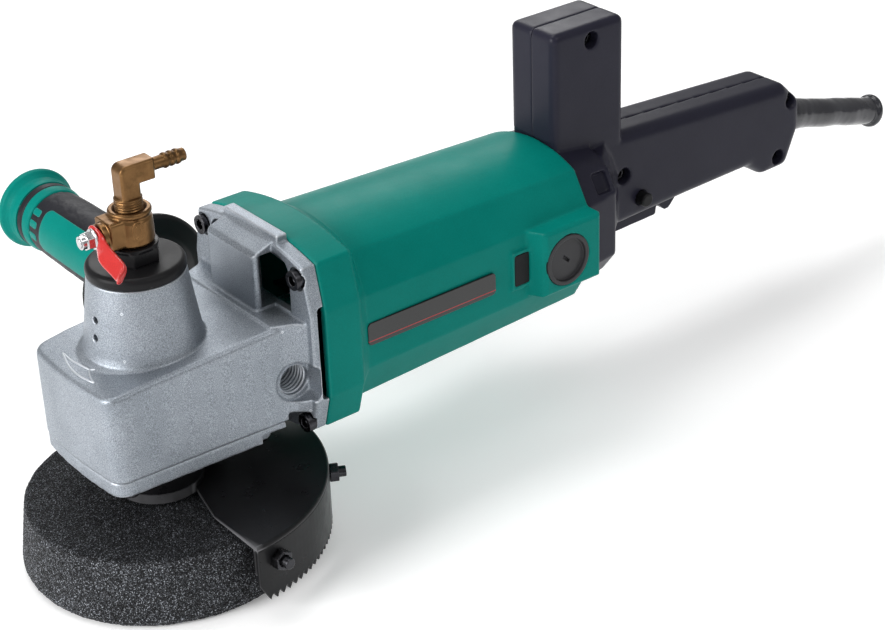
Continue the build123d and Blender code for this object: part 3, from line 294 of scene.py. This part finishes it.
def abrasive():
    """Dark grit in a darker bond with a few bright grains; the flat top is darkened as painted shade."""
    look = Look("abrasive_grit", level=0.20)
    top_from, top_to = 0.0298, 0.0306
    pick = look.ramp(look.cells(2700.0), [
        (0.0, (0.003, 0.003, 0.0035)), (0.50, (0.008, 0.0082, 0.009)), (0.62, (0.030, 0.031, 0.034)),
        (0.76, (0.075, 0.081, 0.094)), (0.88, (0.50, 0.53, 0.58))])
    bond = look.ramp(look.noise(1700.0, 3, 0.7), [(0.35, (0.003, 0.003, 0.004)), (0.68, (0.019, 0.020, 0.023))])
    pick = look.mix(0.80, bond, pick)
    sparkle = look.ramp(look.noise(2900.0, 1), [(0.68, 0.0), (0.73, 1.0)])
    pick = look.mix(sparkle, pick, (0.36, 0.37, 0.39))
    pick = look.mix(0.8, pick, look.ramp(look.noise(70.0, 3), [(0.3, 0.75), (0.7, 1.2)]), "MULTIPLY")
    # painted shade: the flat top face is darkened above this height
    painted_top_shade = look.span(look.height(), 0.0, 0.7, top_from, top_to)
    pick = look.mix(painted_top_shade, pick, look.mix(1.0, pick, (0.30, 0.30, 0.31), "MULTIPLY"))
    look.use("Base Color", pick)
    look.use("Roughness", look.span(look.noise(1500.0, 1), 0.35, 0.85))
    under = look.bump(look.cells(2300.0, "F1", "Distance"), 0.9, 0.0004)
    look.bump(look.noise(1100.0, 4, 0.7), 0.7, 0.0004, under)
    return look.mat


def label_strip():
    """Blank glossy film with one thin red line along its lower edge."""
    look = Look("label_strip", 0.16, coat=0.4, level=0.4)
    line_z, half_width, fade = 0.0853, 0.00020, 0.00006
    base = look.ramp(look.noise(40.0, 3), [(0.3, 0.006), (0.7, 0.010)])
    off_line = look.math("ABSOLUTE", look.math("SUBTRACT", look.height(), line_z), 0.0)
    line = look.span(off_line, 1.0, 0.0, half_width, half_width + fade)
    look.use("Base Color", look.mix(line, base, (0.35, 0.010, 0.012)))
    look.use("Roughness", look.span(look.noise(90.0, 3), 0.12, 0.22))
    return look.mat


def painted_steel():
    """Black enamel on sheet steel, with a painted grey highlight along its edges."""
    look = Look("black_enamel", level=0.18, coat=0.05, coat_roughness=0.18)
    colour = (0.008, 0.008, 0.009)
    base = look.ramp(look.noise(35.0, 4), [(0.3, scaled(colour, 0.8)), (0.7, scaled(colour, 1.35))])
    # painted highlight: convex edges are mixed towards grey
    look.use("Base Color", look.mix(look.edges(0.54, 0.62), base, (0.20, 0.20, 0.21)))
    look.use("Roughness", look.span(look.noise(90.0, 5, 0.7), 0.24, 0.42))
    under = look.bump(look.noise(260.0, 2), 0.12, 0.0003)
    look.bump(look.noise(2400.0, 2), 0.12, 0.00006, under)
    return look.mat


def metal(name, colour, roughness, dirt=(0.1, 0.08, 0.06), dirty=0.3, brush=None):
    """Bare or plated metal with patches of dirt; brush stretches fine lines across an axis."""
    look = Look(name, metallic=1.0)
    base = look.ramp(look.noise(160.0, 5, 0.65), [(0.30, scaled(colour, 0.72)), (0.70, colour)])
    grime = look.ramp(look.noise(70.0, 6, 0.7), [(0.52, 0.0), (0.75, dirty)])
    base = look.mix(grime, base, dirt)
    look.use("Base Color", look.mix(look.edges(0.53, 0.62), base, tuple(min(1.0, c * 1.35) for c in colour)))
    look.use("Roughness", look.span(look.noise(220.0, 4, 0.6), roughness - 0.08, roughness + 0.16))
    under = look.bump(look.noise(900.0, 3, 0.6), 0.18, 0.00012)
    if brush:
        look.bump(look.noise(500.0, 2, 0.5, brush), 0.2, 0.00008, under)
    return look.mat


def rubber(name, colour, roughness=0.55, coat=0.0, level=0.45):
    look = Look(name, level=level, coat=coat, coat_roughness=0.12)
    base = look.ramp(look.noise(50.0, 5), [(0.3, scaled(colour, 0.7)), (0.7, scaled(colour, 1.3))])
    look.use("Base Color", base)
    look.use("Roughness", look.span(look.noise(130.0, 5, 0.7), roughness - 0.10, roughness + 0.12))
    under = look.bump(look.noise(180.0, 3), 0.15, 0.0004)
    look.bump(look.noise(1600.0, 2), 0.30, 0.0001, under)
    return look.mat


looks = {
    "cast_alloy": cast_alloy(),
    "green_plastic": moulded("green_moulding", (0.0, 0.200, 0.166), 0.36, level=0.06),
    "charcoal_plastic": moulded("charcoal_moulding", (0.0152, 0.0148, 0.0270), 0.36, lighten=0.14, level=0.18),
    "black_plastic": moulded("black_moulding", (0.009, 0.009, 0.010), 0.42, lighten=0.14, level=0.16),
    "brush_cap_plastic": moulded("brush_cap_moulding", (0.030, 0.030, 0.033), 0.42, lighten=0.12),
    "handle_rubber": rubber("handle_sleeve", (0.010, 0.010, 0.014), 0.50, level=0.25),
    "boot_rubber": rubber("boot_vinyl", (0.014, 0.0145, 0.020), 0.20, coat=0.55),
    "seal_rubber": rubber("seal_black", (0.02, 0.02, 0.02)),
    "black_steel": painted_steel(),
    "black_screw": metal("black_oxide", (0.06, 0.06, 0.066), 0.22, (0.01, 0.01, 0.01), 0.2),
    "bright_steel": metal("turned_steel", (0.52, 0.53, 0.55), 0.26, (0.12, 0.11, 0.10), 0.2, (1, 1, 12)),
    "plated_steel": metal("zinc_plate", (0.66, 0.66, 0.67), 0.20, (0.15, 0.14, 0.12), 0.3),
    "brass": metal("tarnished_brass", (0.23, 0.125, 0.052), 0.34, (0.06, 0.034, 0.015), 0.7),
    "lever_vinyl": moulded("lever_dip", (0.50, 0.022, 0.020), 0.22, strength=0.12, lighten=0.3, coat=0.5),
    "abrasive": abrasive(),
    "insert_iron": metal("insert_iron_cast", (0.20, 0.20, 0.21), 0.5),
    "laminations": metal("lamination_steel", (0.30, 0.30, 0.32), 0.4, brush=(40, 1, 1)),
    "copper": metal("enamelled_copper", (0.55, 0.25, 0.10), 0.3),
    "carbon": rubber("pressed_carbon", (0.02, 0.02, 0.02), 0.6),
    "label_film": label_strip(),
}


# ---------------------------------------------------------------- mesh helpers, millimetres
def add_piece(name, verts, faces, look, body, finish, *stands_for, smooth=True):
    """A closed mesh from points in millimetres, riding on a body, in place of the CAD nodes named."""
    mesh = bpy.data.meshes.new(name)
    mesh.from_pydata([Vector(v) * MM for v in verts], [], faces)
    work = bmesh.new()
    work.from_mesh(mesh)
    bmesh.ops.recalc_face_normals(work, faces=work.faces)
    for face in work.faces:
        face.smooth = smooth
    work.to_mesh(mesh)
    work.free()
    made = bpy.data.objects.new(name, mesh)
    bpy.context.scene.collection.objects.link(made)
    mesh.materials.append(look)
    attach(made, body)
    if stands_for:
        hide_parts(*stands_for)
    return made


def softened(profile, radius, steps=4):
    """The open profile with its inner corners turned into small arcs."""
    points = [Vector(p) for p in profile]
    out = [points[0]]
    for before, here, after in zip(points, points[1:], points[2:]):
        a = min(radius, (before - here).length * 0.45)
        b = min(radius, (after - here).length * 0.45)
        start = here + (before - here).normalized() * a
        end = here + (after - here).normalized() * b
        for i in range(steps + 1):
            t = i / steps
            out.append(start * (1 - t) ** 2 + here * 2 * t * (1 - t) + end * t * t)
    out.append(points[-1])
    return out


def divided(profile, step):
    """The profile with no span longer than step."""
    out = [Vector(profile[0])]
    for a, b in zip(profile, profile[1:]):
        a, b = Vector(a), Vector(b)
        count = max(1, math.ceil((b - a).length / step))
        out += [a.lerp(b, i / count) for i in range(1, count + 1)]
    return out


def lathe(profile, place, segments, ripple=None, closed=False):
    """Vertices and faces of (height, radius) points turned round the local Z axis of place."""
    verts, faces, rings = [], [], []
    for h, r in profile:
        if r < 1e-4:
            rings.append([len(verts)] * segments)
            verts.append(place @ Vector((0, 0, h)))
            continue
        rings.append(list(range(len(verts), len(verts) + segments)))
        for i in range(segments):
            turn = 2 * math.pi * i / segments
            wide = r + (ripple(h, turn, r) if ripple else 0.0)
            verts.append(place @ Vector((wide * math.cos(turn), wide * math.sin(turn), h)))
    pairs = list(zip(rings, rings[1:])) + ([(rings[-1], rings[0])] if closed else [])
    for low, high in pairs:
        for i in range(segments):
            j = (i + 1) % segments
            corners = [low[i], low[j], high[j], high[i]]
            kept = [c for k, c in enumerate(corners) if c not in corners[:k]]
            if len(kept) > 2:
                faces.append(kept)
    return verts, faces


def swept(rings, sides, closed=False):
    """Faces between rings of points that follow each other, with flat ends unless closed."""
    faces = []
    for i in range(rings if closed else rings - 1):
        a, b = i * sides, ((i + 1) % rings) * sides
        for k in range(sides):
            faces.append([a + k, a + (k + 1) % sides, b + (k + 1) % sides, b + k])
    if not closed:
        faces.append(list(range(sides)))
        faces.append(list(range((rings - 1) * sides, rings * sides)))
    return faces


def tube(points, radius, sides, closed=False, shape=None):
    """A swept bead along points. shape(i, n) gives a radius factor."""
    points = [Vector(p) for p in points]
    count = len(points)
    verts = []
    normal = None
    for i, here in enumerate(points):
        ahead = points[(i + 1) % count] if closed or i < count - 1 else here
        behind = points[i - 1] if closed or i > 0 else here
        along = (ahead - behind).normalized()
        if normal is None:
            normal = along.orthogonal().normalized()
        normal = (normal - along * normal.dot(along)).normalized()
        side = along.cross(normal)
        thick = radius * (shape(i, count) if shape else 1.0)
        for k in range(sides):
            turn = 2 * math.pi * k / sides
            verts.append(here + (normal * math.cos(turn) + side * math.sin(turn)) * thick)
    return verts, swept(count, sides, closed)


def joined(*parts):
    """Several meshes as one."""
    verts, faces = [], []
    for some_verts, some_faces in parts:
        shift = len(verts)
        verts += some_verts
        faces += [[i + shift for i in face] for face in some_faces]
    return verts, faces


def curve_through(points, per_span):
    """Catmull-Rom points through the given ones."""
    points = [Vector(p) for p in points]
    out = []
    for i in range(len(points) - 1):
        a, b, c, d = points[max(i - 1, 0)], points[i], points[i + 1], points[min(i + 2, len(points) - 1)]
        for k in range(per_span):
            t = k / per_span
            out.append(0.5 * (2 * b + (c - a) * t + (2 * a - 5 * b + 4 * c - d) * t * t
                              + (3 * b - a - 3 * c + d) * t ** 3))
    out.append(points[-1])
    return out


def turned(x, y, z, towards):
    """Local frame at a point with +Z pointing towards the given direction."""
    turn = Vector(towards).to_track_quat("Z", "Y").to_matrix().to_4x4()
    return Matrix.Translation((x, y, z)) @ turn


# ---------------------------------------------------------------- CAD nodes: materials and rounding
def rounded(node, voxel, passes):
    """Rounds a CAD node's edges: a fine closed skin over the same solid, then smoothed."""
    piece = nodes[node]
    skin = piece.modifiers.new("skin", "REMESH")
    skin.mode = "VOXEL"
    skin.voxel_size = voxel
    skin.use_smooth_shade = True
    ease = piece.modifiers.new("ease", "SMOOTH")
    ease.factor = 0.5
    ease.iterations = passes


slot_of = {s["node"]: s["material_slot"] for s in frame["record"]["subparts"]}
for name, piece in nodes.items():
    wanted = looks[slot_of[name]]
    for entry in piece.material_slots:
        entry.material = wanted
    if not piece.material_slots:
        piece.data.materials.append(wanted)

# The skin's voxel in metres and the number of smoothing passes, for each node that is rounded.
ROUNDING = {
    "gear_housing": (0.00047, 4), "bearing_cover": (0.00047, 3), "motor_housing": (0.0007, 4),
    "rear_shell_left": (0.0007, 7), "rear_shell_right": (0.0007, 7),
    "guard_band": (0.00047, 2), "guard_skirt": (0.00043, 2), "guard_clamp": (0.0004, 3),
    "guard_bolts": (0.0003, 3), "guard_nuts": (0.00025, 3), "head_screws": (0.00025, 5),
    "shell_screws": (0.0003, 3), "clamp_screw": (0.0003, 3), "water_cap": (0.0004, 4),
    "hex_adapter": (0.00035, 3), "valve_body": (0.00028, 5), "hose_elbow": (0.00025, 4),
    "lever_nut": (0.0002, 3), "valve_stem": (0.0002, 2), "handle_collar": (0.0005, 4),
    "brush_caps": (0.00028, 3), "trigger": (0.0003, 6), "lock_button": (0.00025, 4),
    "terminal_covers": (0.0003, 2), "flange_nut": (0.0003, 3), "stone_insert": (0.0004, 4),
    "label_plates": (0.0002, 2),
}
for name, (voxel, passes) in ROUNDING.items():
    rounded(name, voxel, passes)


# ---------------------------------------------------------------- cup stone
STONE_R, STONE_TOP_R, STONE_H = 62.5, 58.8, 31.0
CUP_R, CUP_DEPTH, EYE_R = 44.0, 19.0, 13.0


def grit_stone():
    """Bonded grit: a fine skin whose points stand proud or lie back by part of a grain, with worn rims."""
    outline = [(CUP_DEPTH, EYE_R + 3.0), (CUP_DEPTH, CUP_R - 2.5), (CUP_DEPTH - 2.5, CUP_R), (1.2, CUP_R),
               (0.2, CUP_R + 1.2), (0.2, STONE_R - 3.4), (1.1, STONE_R - 1.2), (3.6, STONE_R - 0.1),
               (STONE_H - 1.1, STONE_TOP_R - 0.1), (STONE_H - 0.15, STONE_TOP_R - 1.2),
               (STONE_H - 0.15, EYE_R), (22.0, EYE_R), (19.4, EYE_R + 3.0)]
    step, segments = ((0.62, 620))
    verts, faces = lathe(divided(outline, step), Matrix(), segments, closed=True)
    made = add_piece("grit_stone", verts, faces, looks["abrasive"], "spindle", "abrasive", "cup_stone",
                     smooth=False)
    draw = random.Random(11)
    normals = [v.normal.copy() for v in made.data.vertices]
    for vertex, out in zip(made.data.vertices, normals):
        place = vertex.co
        grain = 0.00010 * noise.noise(place * 1700.0) + draw.uniform(-0.00010, 0.00010)
        pit = max(0.0, noise.noise(place * 620.0) - 0.30) * 0.0006
        worn = 0.00035 * noise.noise(place * 60.0) if place.z < 0.006 or place.z > 0.028 else 0.0
        slide = Vector((draw.uniform(-1, 1), draw.uniform(-1, 1), draw.uniform(-1, 1))) * 0.00013
        vertex.co = place + out * (grain - pit - abs(worn)) + slide


# ---------------------------------------------------------------- side handle
HANDLE_X, HANDLE_Z, HANDLE_R = 50.0, 78.0, 16.5
PANEL_MIDDLE = 158.0        # degrees round the handle, measured from +X towards +Z
along_handle = Matrix.Translation((HANDLE_X, 0, HANDLE_Z)) @ Matrix(
    ((1, 0, 0, 0), (0, 0, 1, 0), (0, 1, 0, 0), (0, 0, 0, 1)))


def sleeve_radius(y):
    """Radius of the rubber sleeve at a distance along the handle."""
    stations = [(87.5, 15.3), (92.0, 16.2), (104.0, 16.75), (120.0, 16.95), (140.0, 16.8), (160.0, 16.4),
                (167.8, 16.0)]
    for (y0, r0), (y1, r1) in zip(stations, stations[1:]):
        if y <= y1:
            return r0 + (r1 - r0) * (y - y0) / (y1 - y0)
    return stations[-1][1]


def handle_patch(y0, y1, middle, half_angle, lift, corner, rings=9):
    """A raised panel on the sleeve with round corners and soft edges."""
    half_y = (y1 - y0) / 2
    half_arc = math.radians(half_angle) * HANDLE_R
    edge = []
    for cx, cy, first in ((1, 1, 0), (-1, 1, 90), (-1, -1, 180), (1, -1, 270)):
        for i in range(9):
            turn = math.radians(first + 90 * i / 8)
            edge.append(Vector((cx * (half_y - corner) + corner * math.cos(turn),
                                cy * (half_arc - corner) + corner * math.sin(turn))))
    dense = []
    for a, b in zip(edge, edge[1:] + edge[:1]):
        count = max(1, math.ceil((b - a).length / 1.2))
        dense += [a.lerp(b, i / count) for i in range(count)]
    levels = [(1.0, -0.5), (1.0, lift * 0.3), (1 - 0.25 / half_arc, lift * 0.85), (1 - 0.6 / half_arc, lift)]
    levels += [((1 - 0.6 / half_arc) * (1 - i / rings), lift) for i in range(1, rings)]
    verts = []
    for shrink, height in levels:
        for p in dense:
            y = (y0 + y1) / 2 + p.x * shrink
            turn = math.radians(middle) + p.y * shrink / HANDLE_R
            r = sleeve_radius(y) + height
            verts.append((HANDLE_X + r * math.cos(turn), y, HANDLE_Z + r * math.sin(turn)))
    return verts, swept(len(levels), len(dense))


def side_handle():
    """Rubber sleeve with fine creases, green core with raised panels and end flange, and a dark ring."""
    def crease(y, turn, r):
        place = Vector((y * 0.13, turn * 2.2, 0.0))
        fold = noise.noise(Vector((y * 0.22 + 2.4 * math.sin(turn * 3), turn * 1.6, 3.1)))
        return 0.16 * noise.noise(place * 1.7) - 0.20 * max(0.0, 1 - abs(fold) * 9)

    sleeve = [(87.6, 13.3), (87.6, 14.6), (88.4, 15.4)]
    sleeve += [(y, sleeve_radius(y)) for y in (92, 98, 104, 112, 120, 130, 140, 150, 160, 166)]
    sleeve += [(167.2, 15.9), (167.7, 15.2), (167.7, 13.3)]
    verts, faces = lathe(divided(sleeve, 0.9), along_handle, 160, crease, closed=True)
    add_piece("handle_sleeve", verts, faces, looks["handle_rubber"], "housing", "handle_rubber", "handle_grip")

    core = [(87.5, 0), (87.5, 13.2), (167.9, 13.2), (168.0, 15.7), (168.6, 16.3), (170.6, 16.8),
            (173.0, 17.1), (173.6, 16.8), (173.8, 15.6), (178.6, 15.8), (178.8, 17.3), (180.6, 17.0),
            (183.0, 16.9), (185.2, 17.5), (186.8, 18.7), (188.0, 19.9), (189.4, 20.4), (190.8, 20.2),
            (192.0, 19.2), (193.0, 17.4), (193.2, 15.0), (192.6, 13.6), (192.4, 6.0), (192.6, 0)]
    parts = [lathe(divided(softened(core, 0.35), 1.2), along_handle, 128)]
    for middle in (PANEL_MIDDLE, PANEL_MIDDLE - 180):
        parts.append(handle_patch(97.5, 157.0, middle, 37, 0.30, 4.0))
        for step in (-20, 2, 24):
            parts.append(handle_patch(160.2, 167.2, middle + step, 6.2, 0.28, 1.2, 4))
    add_piece("handle_green", *joined(*parts), looks["green_plastic"], "housing", "green_plastic",
              "handle_core")

    band = [(173.9, 15.7), (174.1, 16.4), (174.8, 16.8), (177.8, 16.9), (178.4, 16.6), (178.6, 15.9)]
    verts, faces = lathe(softened(band, 0.3), along_handle, 128, closed=True)
    add_piece("handle_ring", verts, faces, looks["handle_rubber"], "housing", "handle_rubber")


# ---------------------------------------------------------------- valve lever, badge, threads
def lever_blade():
    """A dipped sheet lever: an eye round the stem, a neck, and a folded blade with a curled tip."""
    # distance along the lever, half width, half thickness, offset, slant in degrees
    stations = [(-5.2, 0.7, 0.8, 0.0, 0), (-4.5, 3.2, 0.9, 0.0, 0), (-2.6, 4.6, 1.0, 0.0, 0),
                (0.0, 5.1, 1.05, 0.0, 0), (3.0, 4.4, 1.15, -0.2, 8), (6.0, 3.7, 1.3, -1.0, 20),
                (9.5, 3.8, 1.45, -2.0, 30), (13.0, 3.9, 1.5, -2.5, 32), (17.0, 3.9, 1.5, -2.6, 32),
                (22.0, 3.8, 1.5, -2.7, 32), (24.6, 3.6, 1.5, -3.1, 30), (26.3, 3.1, 1.5, -4.1, 26),
                (27.3, 2.4, 1.5, -5.2, 20), (27.9, 1.1, 0.8, -5.7, 16)]
    path = curve_through([(u, w, t) for u, w, t, _, _ in stations], 6)
    lift = curve_through([(u, n, s) for u, _, _, n, s in stations], 6)
    place = Matrix.Translation((-16.3, 0, 155.0)) @ Matrix.Rotation(math.radians(13.5), 4, "X")
    verts = []
    sides = 32
    for point, raised in zip(path, lift):
        along, half_w, half_t = point
        slant = math.radians(raised.z)
        dish = 0.8 * min(1.0, max(0.0, (along - 4) / 6)) * min(1.0, max(0.0, (27 - along) / 3))
        for k in range(sides):
            turn = 2 * math.pi * k / sides
            across = math.copysign(abs(math.cos(turn)) ** 0.7, math.cos(turn)) * half_w
            deep = math.copysign(abs(math.sin(turn)) ** 0.8, math.sin(turn)) * half_t
            deep += dish * (0.6 - (across / max(half_w, 0.1)) ** 2)
            deep += noise.noise(Vector((along * 0.3, across * 0.4, deep * 0.3))) * 0.12
            out = raised.y + deep * math.cos(slant) + across * math.sin(slant)
            verts.append(place @ Vector((out, -along, across * math.cos(slant) - deep * math.sin(slant))))
    add_piece("lever_blade", verts, swept(len(path), sides), looks["lever_vinyl"], "valve", "lever_vinyl",
              "valve_lever")


def oval_badge():
    """A blank raised oval on the valve body, with a smaller one inside it."""
    turn, z, r = math.radians(-101), 156.0, 9.02
    parts = []
    for half_w, half_h, thick in ((2.5, 4.3, 0.24), (1.25, 2.7, 0.16)):
        ring = []
        for t in range(48):
            a = turn + half_w * math.cos(t * math.pi / 24) / r
            ring.append(Vector((r * math.cos(a), r * math.sin(a), z + half_h * math.sin(t * math.pi / 24))))
        parts.append(tube(ring, thick, 6, closed=True))
    add_piece("valve_badge", *joined(*parts), looks["brass"], "housing", "brass")


def side_thread():
    """The internal thread of the free handle boss: a ridge wound inside the bore."""
    pitch, per_turn = 2.0, 56
    start, end = -33.2, -19.0
    count = int((end - start) / pitch * per_turn)
    verts = []
    section = [(-0.85, 6.95), (-0.30, 6.28), (0.30, 6.28), (0.85, 6.95), (0.5, 7.15), (-0.5, 7.15)]
    for i in range(count + 1):
        turn = 2 * math.pi * i / per_turn
        y = start + pitch * i / per_turn
        fade = min(1.0, i / 14, (count - i) / 14)
        for dy, r in section:
            r = 7.1 + (r - 7.1) * max(fade, 0.05)
            verts.append((HANDLE_X + r * math.cos(turn), y + dy * 0.9, HANDLE_Z + r * math.sin(turn)))
    add_piece("side_thread", verts, swept(count + 1, len(section)), looks["cast_alloy"], "housing",
              "cast_alloy")


def head_top(x):
    """Height of the head's top face."""
    return 99.3 + (x + 39.2) / 19.2 * 2.4


def spin_arrow():
    """Cast outline of the direction arrow on the head's top."""
    a, b, c, d = (-29.7, 16.0), (-32.9, 5.5), (-33.7, -4.3), (-32.2, -14.0)
    e, f, g, h = (-30.2, 7.6), (-28.6, -4.0), (-24.6, -8.6), (-30.9, -8.6)

    def bead(points):
        path = curve_through([(x, y, head_top(x)) for x, y in points], 8)
        return tube(path, 0.48, 8, shape=lambda i, n: 0.4 + 0.6 * min(1.0, i / 2.0, (n - 1 - i) / 2.0))

    parts = [bead([a, b, c, d]), bead([a, e, f]), bead([d, h, f]), bead([f, g])]
    add_piece("spin_arrow", *joined(*parts), looks["cast_alloy"], "housing", "cast_alloy")


# ---------------------------------------------------------------- trigger spring
def trigger_coil():
    """Wound wire between trigger and switch."""
    low, high = (Vector(corner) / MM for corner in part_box("trigger_spring"))
    wire, coils, per_turn = 0.42, 5.0, 24
    middle, radius = (low + high) / 2, (high.x - low.x) / 2 - wire
    count = int(coils * per_turn)
    path = []
    for i in range(count + 1):
        turn = 2 * math.pi * i / per_turn
        path.append(Vector((middle.x + radius * math.cos(turn), middle.y + radius * math.sin(turn),
                            low.z + wire + (high.z - low.z - 2 * wire) * i / count)))
    coil = add_piece("trigger_coil", *tube(path, wire, 10), looks["bright_steel"], "housing",
                     "bright_steel", "trigger_spring")
    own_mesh(coil)


# ---------------------------------------------------------------- cable boot
def cable_boot():
    """Soft boot that droops from the grip's end, dented all along and with a rolled lip."""
    droop = math.radians(15)
    place = turned(383.0, 0, 91.0, (math.cos(droop), 0, -math.sin(droop)))
    outline = [(-10, 4.2), (-10, 10.2), (-6.4, 10.2), (-6.4, 8.5), (0, 8.6), (6, 8.5), (12, 7.9), (20, 7.75),
               (30, 7.6), (42, 7.45), (54, 7.35), (62, 7.25), (68.6, 7.2), (70.4, 7.4), (70.9, 8.5),
               (72.0, 8.9), (73.2, 8.8), (74.0, 8.1), (74.0, 4.2)]

    def dent(h, turn, r):
        if not 2 < h < 69 or r < 6:
            return 0.0
        wave = noise.noise(Vector((h * 0.075, math.cos(turn) * 1.1, math.sin(turn) * 1.1)))
        return 0.55 * wave + 0.10 * noise.noise(Vector((h * 0.35, turn * 1.5, 7.7)))

    verts, faces = lathe(divided(softened(outline, 0.5), 1.0), place, 96, dent, closed=True)
    add_piece("boot_sleeve", verts, faces, looks["boot_rubber"], "housing", "boot_rubber", "cord_boot")


grit_stone()
side_handle()
lever_blade()
oval_badge()
side_thread()
spin_arrow()
trigger_coil()
cable_boot()

camera()
studio()
bpy.context.scene.view_settings.view_transform = "Standard"
